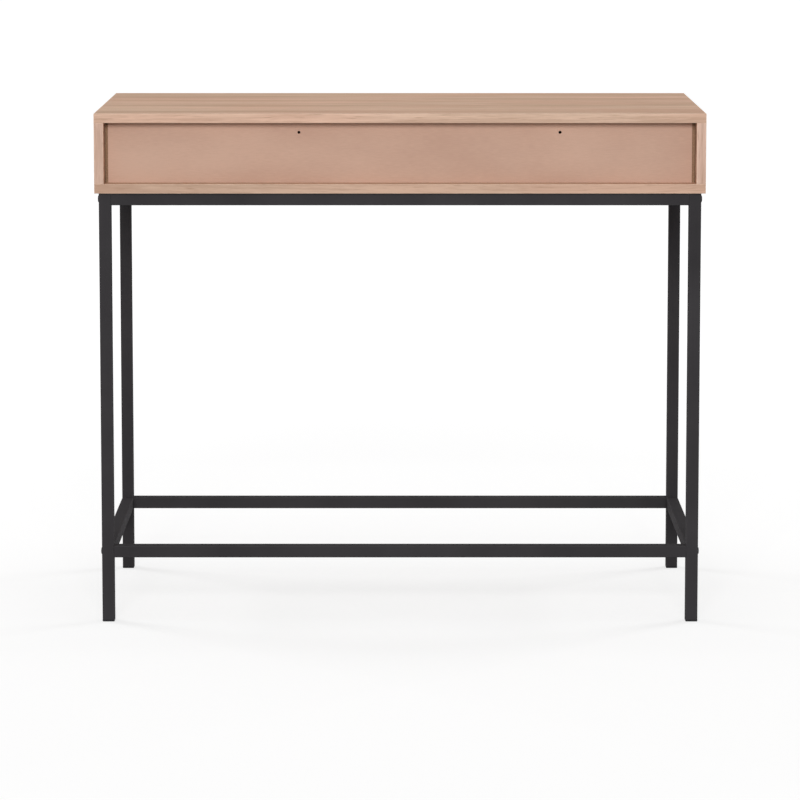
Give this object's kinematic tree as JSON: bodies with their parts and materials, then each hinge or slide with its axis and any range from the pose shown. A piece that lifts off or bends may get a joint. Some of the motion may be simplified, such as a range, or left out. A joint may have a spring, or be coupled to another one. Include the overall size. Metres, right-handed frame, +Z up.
{
  "type": "writing desk with drawers",
  "caption": "Slim writing desk: an oak-look case with two side-by-side drawers on a black square-tube frame with low stretchers all round, and an inset back panel.",
  "frame": {"origin": "on the floor, under the middle of the desk's overall box, knobs included", "axes": "+Z up, +X to the right of a person who sits at the desk, and the drawers open towards -Y"},
  "size_m": [0.9, 0.474, 0.76],
  "materials": {
    "oak_board": "light oak foil on board, matt",
    "back_board": "plain foil in the oak's colour, matt",
    "drawer_board": "light foil on board, matt",
    "frame_steel": "black powder coat, fine texture",
    "knob_steel": "black powder coat, smooth",
    "foot_plastic": "black, matt",
    "zinc_steel": "zinc plated"
  },
  "bodies": {
    "desk": {"left_front_leg": "frame_steel", "left_rear_leg": "frame_steel", "right_front_leg": "frame_steel", "right_rear_leg": "frame_steel", "left_front_foot_cap": "foot_plastic", "left_rear_foot_cap": "foot_plastic", "right_front_foot_cap": "foot_plastic", "right_rear_foot_cap": "foot_plastic", "left_front_rail_bolt": "frame_steel", "left_front_stretcher_bolt": "frame_steel", "left_rear_rail_bolt": "frame_steel", "left_rear_stretcher_bolt": "frame_steel", "right_front_rail_bolt": "frame_steel", "right_front_stretcher_bolt": "frame_steel", "right_rear_rail_bolt": "frame_steel", "right_rear_stretcher_bolt": "frame_steel", "left_top_rail": "frame_steel", "right_top_rail": "frame_steel", "front_top_rail": "frame_steel", "rear_top_rail": "frame_steel", "left_stretcher": "frame_steel", "right_stretcher": "frame_steel", "front_stretcher": "frame_steel", "rear_stretcher": "frame_steel", "left_front_case_screw": "zinc_steel", "left_rear_case_screw": "zinc_steel", "right_front_case_screw": "zinc_steel", "right_rear_case_screw": "zinc_steel", "top_board": "oak_board", "bottom_board": "oak_board", "left_side_panel": "oak_board", "right_side_panel": "oak_board", "centre_divider": "oak_board", "back_panel": "back_board", "left_drawer_left_slide_outer": "zinc_steel", "left_drawer_right_slide_outer": "zinc_steel", "right_drawer_left_slide_outer": "zinc_steel", "right_drawer_right_slide_outer": "zinc_steel"},
    "left_drawer": {"left_drawer_front": "oak_board", "left_drawer_left_side": "drawer_board", "left_drawer_right_side": "drawer_board", "left_drawer_back": "drawer_board", "left_drawer_floor": "drawer_board", "left_drawer_knob": "knob_steel", "left_drawer_knob_screw": "zinc_steel", "left_drawer_left_slide_inner": "zinc_steel", "left_drawer_right_slide_inner": "zinc_steel"},
    "left_drawer_left_ball_cage": {"left_drawer_left_ball_cage": "zinc_steel"},
    "left_drawer_right_ball_cage": {"left_drawer_right_ball_cage": "zinc_steel"},
    "right_drawer": {"right_drawer_front": "oak_board", "right_drawer_left_side": "drawer_board", "right_drawer_right_side": "drawer_board", "right_drawer_back": "drawer_board", "right_drawer_floor": "drawer_board", "right_drawer_knob": "knob_steel", "right_drawer_knob_screw": "zinc_steel", "right_drawer_left_slide_inner": "zinc_steel", "right_drawer_right_slide_inner": "zinc_steel"},
    "right_drawer_left_ball_cage": {"right_drawer_left_ball_cage": "zinc_steel"},
    "right_drawer_right_ball_cage": {"right_drawer_right_ball_cage": "zinc_steel"}
  },
  "joints": [
    {"name": "left_drawer_slide", "type": "slide", "parent": "desk", "child": "left_drawer", "axis": [0, -1, 0], "range_m": [0, 0.25]},
    {"name": "left_drawer_left_ball_cage_roll", "type": "slide", "parent": "desk", "child": "left_drawer_left_ball_cage", "axis": [0, -1, 0], "range_m": [0, 0.125]},
    {"name": "left_drawer_right_ball_cage_roll", "type": "slide", "parent": "desk", "child": "left_drawer_right_ball_cage", "axis": [0, -1, 0], "range_m": [0, 0.125]},
    {"name": "right_drawer_slide", "type": "slide", "parent": "desk", "child": "right_drawer", "axis": [0, -1, 0], "range_m": [0, 0.25]},
    {"name": "right_drawer_left_ball_cage_roll", "type": "slide", "parent": "desk", "child": "right_drawer_left_ball_cage", "axis": [0, -1, 0], "range_m": [0, 0.125]},
    {"name": "right_drawer_right_ball_cage_roll", "type": "slide", "parent": "desk", "child": "right_drawer_right_ball_cage", "axis": [0, -1, 0], "range_m": [0, 0.125]}
  ],
  "couplings": [
    {"joint": "left_drawer_left_ball_cage_roll", "follows": "left_drawer_slide", "ratio": 0.5},
    {"joint": "left_drawer_right_ball_cage_roll", "follows": "left_drawer_slide", "ratio": 0.5},
    {"joint": "right_drawer_left_ball_cage_roll", "follows": "right_drawer_slide", "ratio": 0.5},
    {"joint": "right_drawer_right_ball_cage_roll", "follows": "right_drawer_slide", "ratio": 0.5}
  ]
}
